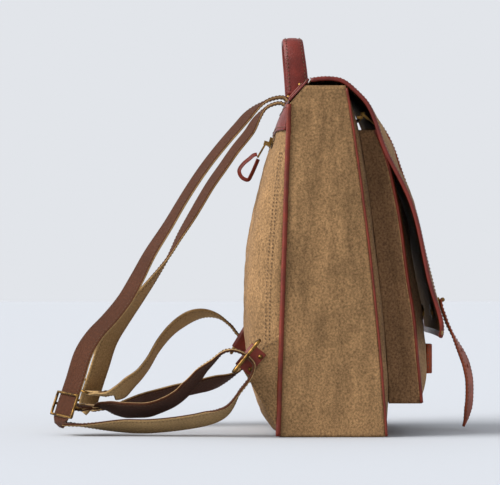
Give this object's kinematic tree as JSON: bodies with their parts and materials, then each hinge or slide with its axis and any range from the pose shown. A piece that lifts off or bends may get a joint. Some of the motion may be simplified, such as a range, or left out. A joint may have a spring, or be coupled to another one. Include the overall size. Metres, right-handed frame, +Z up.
{
  "type": "satchel backpack",
  "caption": "Square canvas backpack with a satchel flap and stud strap, a front pocket, leather piping and top handle, and slack adjustable shoulder straps with rings.",
  "frame": {"origin": "centre of the base's underside", "axes": "+X to the wearer's right, -Y towards the flap and front pocket, +Y towards the wearer's back, +Z up"},
  "size_m": [0.3494, 0.4864, 0.4536],
  "materials": {
    "canvas": "waxed, matt",
    "panel_canvas": "waxed, matt",
    "lining": "matt",
    "strap_canvas": "matt",
    "foam": "matt",
    "board": "matt",
    "leather": "oiled, satin",
    "brass": "aged, satin",
    "zip_tape": "matt"
  },
  "bodies": {
    "bag": {"anchor_triangle_left": "canvas", "anchor_triangle_right": "canvas", "back_board": "board", "back_foam": "foam", "back_panel": "panel_canvas", "back_yoke": "leather", "back_zip_tape": "zip_tape", "back_zip_teeth": "brass", "base_board": "board", "base_panel": "canvas", "front_panel": "canvas", "front_piping": "leather", "handle_anchors": "leather", "lining": "lining", "padded_sleeve": "lining", "pocket_floor": "canvas", "pocket_front": "canvas", "pocket_gusset_left": "canvas", "pocket_gusset_right": "canvas", "pocket_piping": "leather", "pocket_zip_tapes": "zip_tape", "pocket_zip_teeth": "brass", "rear_piping": "leather", "ring_tab_left": "leather", "ring_tab_right": "leather", "side_gusset_left": "canvas", "side_gusset_right": "canvas", "slip_pocket": "lining", "snap_socket": "brass", "strap_keeper": "leather", "top_band": "canvas"},
    "flap_top": {"flap_top_canvas": "canvas", "flap_top_lining": "lining", "flap_top_binding": "leather"},
    "flap_front": {"flap_front_canvas": "canvas", "flap_front_lining": "lining", "flap_front_binding": "leather", "centre_strap": "leather", "closure_stud": "brass", "snap_cap": "brass"},
    "strap_tail": {"strap_tail": "leather"},
    "handle": {"handle": "leather"},
    "left_strap": {"shoulder_strap_left": "strap_canvas", "lower_strap_left": "strap_canvas", "return_strap_left": "strap_canvas"},
    "right_strap": {"shoulder_strap_right": "strap_canvas", "lower_strap_right": "strap_canvas", "return_strap_right": "strap_canvas"},
    "left_ring": {"ring_left": "brass"},
    "right_ring": {"ring_right": "brass"},
    "left_slide": {"slide_adjuster_left": "brass", "strap_fold_left": "strap_canvas"},
    "right_slide": {"slide_adjuster_right": "brass", "strap_fold_right": "strap_canvas"},
    "back_slider": {"back_zip_slider": "brass"},
    "back_pull": {"back_zip_tab": "brass", "back_zip_leather": "leather"},
    "pocket_slider": {"pocket_zip_slider": "brass"},
    "pocket_pull": {"pocket_zip_pull": "brass"}
  },
  "joints": [
    {"name": "flap_hinge", "type": "hinge", "parent": "bag", "child": "flap_top", "pos_m": [0, 0.0252, 0.4008], "axis": [-1, 0, 0], "range_deg": [0, 50]},
    {"name": "flap_fold", "type": "hinge", "parent": "flap_top", "child": "flap_front", "pos_m": [0, -0.0234, 0.3922], "axis": [-1, 0, 0], "range_deg": [0, 100]},
    {"name": "tail_swing", "type": "hinge", "parent": "flap_front", "child": "strap_tail", "pos_m": [0, -0.13159, 0.1508], "axis": [-1, 0, 0], "range_deg": [-8, 70]},
    {"name": "handle_lean", "type": "hinge", "parent": "bag", "child": "handle", "pos_m": [0, 0.04134, 0.39127], "axis": [-1, 0, 0], "range_deg": [-8, 8], "stiffness_Nm_per_rad": 0.05},
    {"name": "left_strap_swing", "type": "hinge", "parent": "bag", "child": "left_strap", "pos_m": [-0.048, 0.048, 0.376], "axis": [-0.3632, 0.1563, -0.9185], "range_deg": [-15, 6]},
    {"name": "left_ring_turn", "type": "hinge", "parent": "bag", "child": "left_ring", "pos_m": [-0.1487, 0.0965, 0.091], "axis": [0, 0.6337, -0.7736], "range_deg": [-12, 12]},
    {"name": "left_slide_shift", "type": "slide", "parent": "left_strap", "child": "left_slide", "axis": [0.12, -0.3001, 0.9463], "range_m": [0, 0.035]},
    {"name": "right_strap_swing", "type": "hinge", "parent": "bag", "child": "right_strap", "pos_m": [0.048, 0.048, 0.376], "axis": [0.3772, 0.1707, -0.9103], "range_deg": [-6, 15]},
    {"name": "right_ring_turn", "type": "hinge", "parent": "bag", "child": "right_ring", "pos_m": [0.1487, 0.099, 0.104], "axis": [0, 0.5201, -0.8541], "range_deg": [-12, 12]},
    {"name": "right_slide_shift", "type": "slide", "parent": "right_strap", "child": "right_slide", "axis": [-0.12, -0.3001, 0.9463], "range_m": [0, 0.035]},
    {"name": "back_zip_run", "type": "slide", "parent": "bag", "child": "back_slider", "axis": [1, 0, 0], "range_m": [-0.01, 0.15]},
    {"name": "back_pull_swing", "type": "hinge", "parent": "back_slider", "child": "back_pull", "pos_m": [-0.07, 0.07313, 0.33128], "axis": [1, 0, 0], "range_deg": [-20, 25]},
    {"name": "pocket_zip_run", "type": "slide", "parent": "bag", "child": "pocket_slider", "axis": [1, 0, 0], "range_m": [0, 0.215]},
    {"name": "pocket_pull_swing", "type": "hinge", "parent": "pocket_slider", "child": "pocket_pull", "pos_m": [-0.112, -0.03526, 0.36295], "axis": [-1, 0, 0], "range_deg": [0, 5]}
  ]
}
